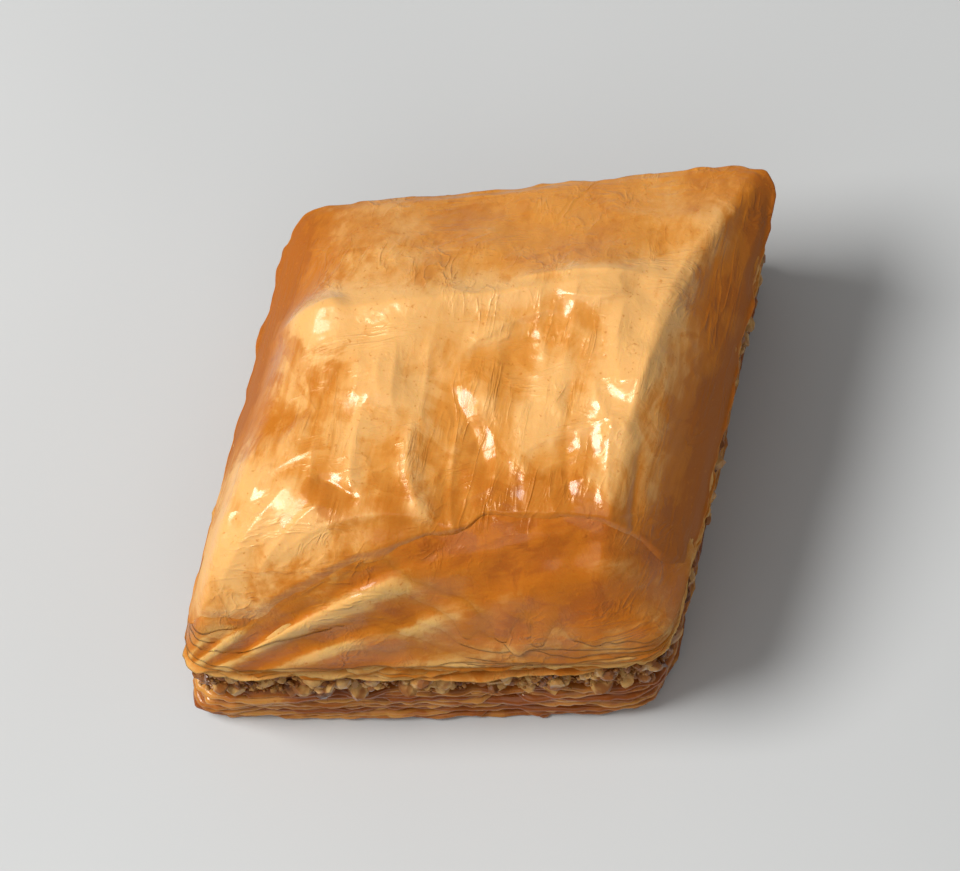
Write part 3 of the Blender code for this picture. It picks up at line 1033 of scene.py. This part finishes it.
soaked_bands = lower_bands(tongue(5.0 * MM, LOWER_LEAF, 8))
make_piece("lower_leaf_edges", soaked_bands, "lower_leaves", wet_finish)

# %% [markdown]
# Behind the leaf edges each layer has a plain closed core, which stops the eye in the gaps
# between leaves and closes the underside. A core is a stack of rings: in along its bottom,
# up its side and in along its top.

# %% Cores
CORE_ROUND = 240


def core_body(levels, inset, puffed, toasted, bumps=0.0, seed=0):
    """Closed body through rings given as (scale, height function), with its side uneven by bumps.

    A ring is the rim, scaled and moved in by the inset, at its own height. Only a ring
    that is nearly full size is pushed in and out by the bumps."""
    u0, v0 = walk_round(CORE_ROUND)
    x0, y0 = lozenge(u0, v0)
    rings = []
    for scale, height in levels:
        share = scale - inset / (DEPTH / 2)
        z0 = height(u0 * share, v0 * share)
        push = bumps * rough(x0, y0, z0, 1.8 * MM, seed) / (DEPTH / 2) if scale > 0.9 else 0.0
        u, v = u0 * (share + push), v0 * (share + push)
        x, y = lozenge(u, v)
        rings.append(np.stack([x, y, height(u, v) + 0 * x], -1))
    middle = np.zeros(1)
    bottom = np.array([[0, 0, levels[0][1](middle, middle)[0]]])
    top = np.array([[0, 0, levels[-1][1](middle, middle)[0]]])
    points = np.concatenate(rings + [bottom, top])
    loop = np.arange(CORE_ROUND)
    last = (len(rings) - 1) * CORE_ROUND
    faces = [grid_faces(len(rings), CORE_ROUND, wrap_columns=True)]
    faces.append(fan_faces(loop, len(points) - 2))
    faces.append(fan_faces(last + loop[::-1], len(points) - 1))
    faces = np.concatenate(faces)
    marks = {"puffed": np.full(len(points), puffed), "toasted": np.full(len(points), toasted)}
    marks["dry"] = np.ones(len(points))
    return points, facing_out(points, faces), marks


def level(height):
    """A flat height as a function of u and v."""
    return lambda u, v: np.full(np.shape(u), height)


def under_pillow(u, v):
    """A surface below the pillow: 1.3 mm in the middle, and 5 mm near the cuts and the front."""
    near_cut = np.maximum(np.maximum(np.abs(u), v), 0.18 - v)
    return pillow(u, v) - 1.3 * MM - 3.7 * MM * smooth_step(0.60, 0.86, near_cut)


upper_rings = [(0.5, level(FILLING_TOP)), (0.9, level(FILLING_TOP))]
upper_rings += [(1.0, level(FILLING_TOP + 0.5 * MM))]
upper_rings += [(scale, under_pillow) for scale in np.linspace(1.0, 0.08, 24)]
upper_core = core_body(upper_rings, inset=1.6 * MM, puffed=0.1, toasted=1.0)
make_piece("upper_core", upper_core, "upper_leaves", edge_finish)
lower_rings = [(0.5, level(0.0)), (0.97, level(0.0)), (1.0, level(0.25 * MM))]
lower_rings += [(1.0, level(LOWER_TOP - 0.4 * MM)), (0.9, level(LOWER_TOP)), (0.4, level(LOWER_TOP))]
lower_core = core_body(lower_rings, inset=0.9 * MM, puffed=0.2, toasted=0.9)
make_piece("lower_core", lower_core, "lower_leaves", wet_finish)

# %% [markdown]
# The filling is walnut crushed to crumbs from a grain of meal up to two and a half
# millimetres, some pale flesh and some with brown skin. A nut breaks along flat faces, so
# a crumb is a small ball shaved flat from several random sides. All crumbs are shaped at
# once as one array, turned, and set into the filling's uneven edge.

# %% Walnut finishes


def walnut_material(name, light, dark, skin):
    """Nut flesh mottled between two colours, with darker skin where a noise says so."""
    material, tree, shader, place = new_material(name)
    tone = spread(tree, add_noise(tree, place, 1100, 4, 0.6), 0.3, 0.7)
    flesh = blend_colours(tree, tone, light, dark)
    where = spread(tree, add_noise(tree, place, 420, 2, 0.5), 0.50, 0.60)
    tree.links.new(blend_colours(tree, where, flesh, skin), shader.inputs["Base Color"])
    syrup = group_node(tree, SYRUP, place, Wet=0.0, Smooth=0.25, Dull=0.65, Least=0.0)
    tree.links.new(syrup.outputs["Roughness"], shader.inputs["Roughness"])
    tree.links.new(combine(tree, syrup.outputs["Coat"], 0.4), shader.inputs["Coat Weight"])
    add_bump(tree, add_noise(tree, place, 3200, 4, 0.6), shader, 0.7, 0.05 * MM)
    set_inputs(shader, {"Coat Roughness": 0.15, "IOR": 1.30})
    set_inputs(shader, light_inside(0.15, (1.0, 0.5, 0.25), 0.5 * MM))
    return material


flesh_finish = walnut_material(
    "walnut flesh", light=(0.64, 0.375, 0.125), dark=(0.48, 0.230, 0.060), skin=(0.30, 0.105, 0.022))
skin_finish = walnut_material(
    "walnut skin", light=(0.36, 0.135, 0.030), dark=(0.20, 0.062, 0.012), skin=(0.12, 0.034, 0.007))
meal_finish = walnut_material(
    "walnut meal", light=(0.50, 0.250, 0.070), dark=(0.33, 0.130, 0.028), skin=(0.20, 0.068, 0.014))
print("walnut finishes:", flesh_finish.name, skin_finish.name, meal_finish.name, sep=", ")

# %% [markdown]
# The filling shows at the cuts as a crowd of crumbs with meal between them. Only that outer
# layer is made of crumbs. They are strewn on the cuts at random depths, and a bed with an
# uneven side lies behind them.

# %% Walnut filling


def ball(fineness):
    """Points and triangles of a round ball, from Blender's own icosphere."""
    shape = bmesh.new()
    bmesh.ops.create_icosphere(shape, subdivisions=fineness, radius=1.0)
    points = np.array([vertex.co for vertex in shape.verts])
    faces = np.array([[vertex.index for vertex in face.verts] for face in shape.faces])
    shape.free()
    return points, np.concatenate([faces, faces[:, 2:]], axis=1)


def random_turns(count, rng):
    """Random rotations: the rows are the axes from the QR split of a random matrix."""
    turns, _ = np.linalg.qr(rng.normal(size=(count, 3, 3)))
    turns[np.linalg.det(turns) < 0, 0] *= -1
    return turns


def crumbs(count, fineness, small, large, rng):
    """Crumb shapes as one array: balls shaved flat by random planes, drawn out, turned and sized.

    What stands out beyond a plane is pushed back by 0.95 of its excess. A size is the
    smallest one times the ratio to the largest, to a random power that favours small ones."""
    points, faces = ball(fineness)
    shapes = np.repeat(points[None], count, axis=0)
    for _ in range(6):
        side = rng.normal(size=(count, 1, 3))
        side /= np.linalg.norm(side, axis=2, keepdims=True)
        reach = (shapes * side).sum(2, keepdims=True)
        over = np.maximum(reach - rng.uniform(0.35, 0.85, (count, 1, 1)), 0)
        shapes = shapes - 0.95 * over * side
    shapes = shapes * rng.uniform(0.6, 1.25, (count, 1, 3))
    size = small * (large / small) ** rng.uniform(0, 1, (count, 1, 1)) ** 1.5
    shapes = np.einsum("cpi,cij->cpj", shapes, random_turns(count, rng)) * size / 2
    return shapes, faces


def place_on_cut(count, heights, depths, rng):
    """Random places on the cuts, between two heights and two depths behind the cut."""
    u, v = rim_point(rng.uniform(0, 4, count))
    scale = 1 - rng.uniform(*depths, count) / (DEPTH / 2)
    x, y = lozenge(u * scale, v * scale)
    return np.stack([x, y, rng.uniform(*heights, count)], -1)


def crumb_body(count, fineness, sizes, heights, depths, seed):
    """Many crumbs on the cuts, as one body."""
    rng = np.random.default_rng(seed)
    shapes, faces = crumbs(count, fineness, *sizes, rng)
    shapes = shapes + place_on_cut(count, heights, depths, rng)[:, None, :]
    every = (faces[None] + (np.arange(count) * shapes.shape[1])[:, None, None]).reshape(-1, 4)
    points = shapes.reshape(-1, 3)
    return points, every, {"puffed": np.zeros(len(points))}


filling_low, filling_high = LOWER_TOP + 0.2 * MM, FILLING_TOP - 0.1 * MM
filling_rings = [(0.5, level(LOWER_TOP)), (0.9, level(LOWER_TOP))]
filling_rings += [(1.0, level(height)) for height in np.linspace(filling_low, filling_high, 14)]
filling_rings += [(0.9, level(FILLING_TOP)), (0.4, level(FILLING_TOP))]
walnut_bed = core_body(filling_rings, inset=1.5 * MM, puffed=0, toasted=0, bumps=0.7 * MM, seed=81)
make_piece("walnut_bed", walnut_bed, "walnut_filling", meal_finish)

# piece, how many, fineness of the ball, smallest and largest size, space kept above and
# below, least and largest depth behind the cut, finish, seed (lengths in mm)
CRUMB_KINDS = (
    ("walnut_crumbs", 820, 2, (0.9, 2.7), 0.5, (0.5, 1.9), flesh_finish, 82),
    ("walnut_skins", 460, 2, (0.8, 2.1), 0.4, (0.5, 1.6), skin_finish, 83),
    ("walnut_meal", 2600, 1, (0.3, 0.8), 0.0, (0.3, 1.3), meal_finish, 84),
)
for name, count, fineness, sizes, space, depths, finish, seed in CRUMB_KINDS:
    heights = (filling_low + space * MM, filling_high - space * MM)
    sizes, depths = ([value * MM for value in pair] for pair in (sizes, depths))
    body = crumb_body(count, fineness, sizes, heights, depths, seed)
    make_piece(name, body, "walnut_filling", finish, smooth=False)

# %% [markdown]
# The piece stands on a plain pale floor. The camera looks down steeply from the front, as
# in the photo. A soft light on the left gives the glints and the long highlights on the
# folds, a wider and dimmer one overhead fills the rest, and the world gives a little light
# from everywhere.

# %% Floor, light and camera
AIM = np.array([0.0, 0.0, 15 * MM])
VIEW_RISE = 72
VIEW_DISTANCE = 0.50
WARM_WHITE = (1.0, 0.985, 0.96)


def floor():
    """A wide pale plane under the piece, turned up behind into a soft bend."""
    reach, depth_points = 1.6, 40
    t = np.linspace(0, 1, depth_points)
    y = -1.2 + 2.6 * t
    z = 0.9 * np.clip((t - 0.55) / 0.45, 0, 1) ** 2
    x = np.array([-reach, reach])
    points = np.stack([np.tile(x, depth_points), np.repeat(y, 2), np.repeat(z, 2) - 0.02 * MM], -1)
    mesh = mesh_from("floor", points, grid_faces(depth_points, 2)[:, ::-1])
    mesh.shade_smooth()
    plane = bpy.data.objects.new("floor", mesh)
    bpy.context.scene.collection.objects.link(plane)
    material, tree, shader, place = new_material("pale floor")
    tone = spread(tree, add_noise(tree, place, 9, 3), 0.3, 0.7)
    paint = blend_colours(tree, tone, (0.54, 0.555, 0.565), (0.58, 0.595, 0.605))
    tree.links.new(paint, shader.inputs["Base Color"])
    set_inputs(shader, {"Roughness": 0.6})
    mesh.materials.append(material)


def seen_from(azimuth, elevation):
    """Unit vector at an azimuth from +X and an elevation above the floor, both in degrees."""
    turn, rise = math.radians(azimuth), math.radians(elevation)
    level_part = np.array([math.cos(turn), math.sin(turn), 0]) * math.cos(rise)
    return level_part + np.array([0, 0, math.sin(rise)])


def aimed(thing, place):
    """Puts a light or camera at a place, looking at the piece.

    Both look straight down when unturned, so it is tilted by its angle away from the
    zenith over the piece, then turned about Z by its azimuth and a quarter turn."""
    thing.location = place
    away = np.array(place) - AIM
    across = math.hypot(away[0], away[1])
    thing.rotation_euler = (math.atan2(across, away[2]), 0, math.atan2(away[1], away[0]) + math.pi / 2)
    bpy.context.scene.collection.objects.link(thing)


def soft_light(name, azimuth, elevation, distance, size, power):
    """A round area light at an azimuth from +X and an elevation in degrees, and a distance."""
    light = bpy.data.lights.new(name, "AREA")
    light.shape = "DISK"
    light.size = size
    light.energy = power
    light.color = WARM_WHITE
    aimed(bpy.data.objects.new(name, light), AIM + distance * seen_from(azimuth, elevation))


floor()
soft_light("key", azimuth=186, elevation=56, distance=0.8, size=0.36, power=6.6)
soft_light("overhead", azimuth=255, elevation=62, distance=1.0, size=0.8, power=1.3)
world = bpy.data.worlds.new("room")
world.use_nodes = True
set_inputs(world.node_tree.nodes["Background"], {"Color": (*WARM_WHITE, 1), "Strength": 0.22})
bpy.context.scene.world = world

camera_data = bpy.data.cameras.new("camera")
camera_data.lens = 215
camera_data.clip_start = 0.01
camera = bpy.data.objects.new("camera", camera_data)
aimed(camera, AIM + VIEW_DISTANCE * seen_from(-90, VIEW_RISE))
bpy.context.scene.camera = camera
bpy.context.scene.view_settings.view_transform = "Standard"
print("camera", VIEW_DISTANCE, "m away,", VIEW_RISE, "degrees up")
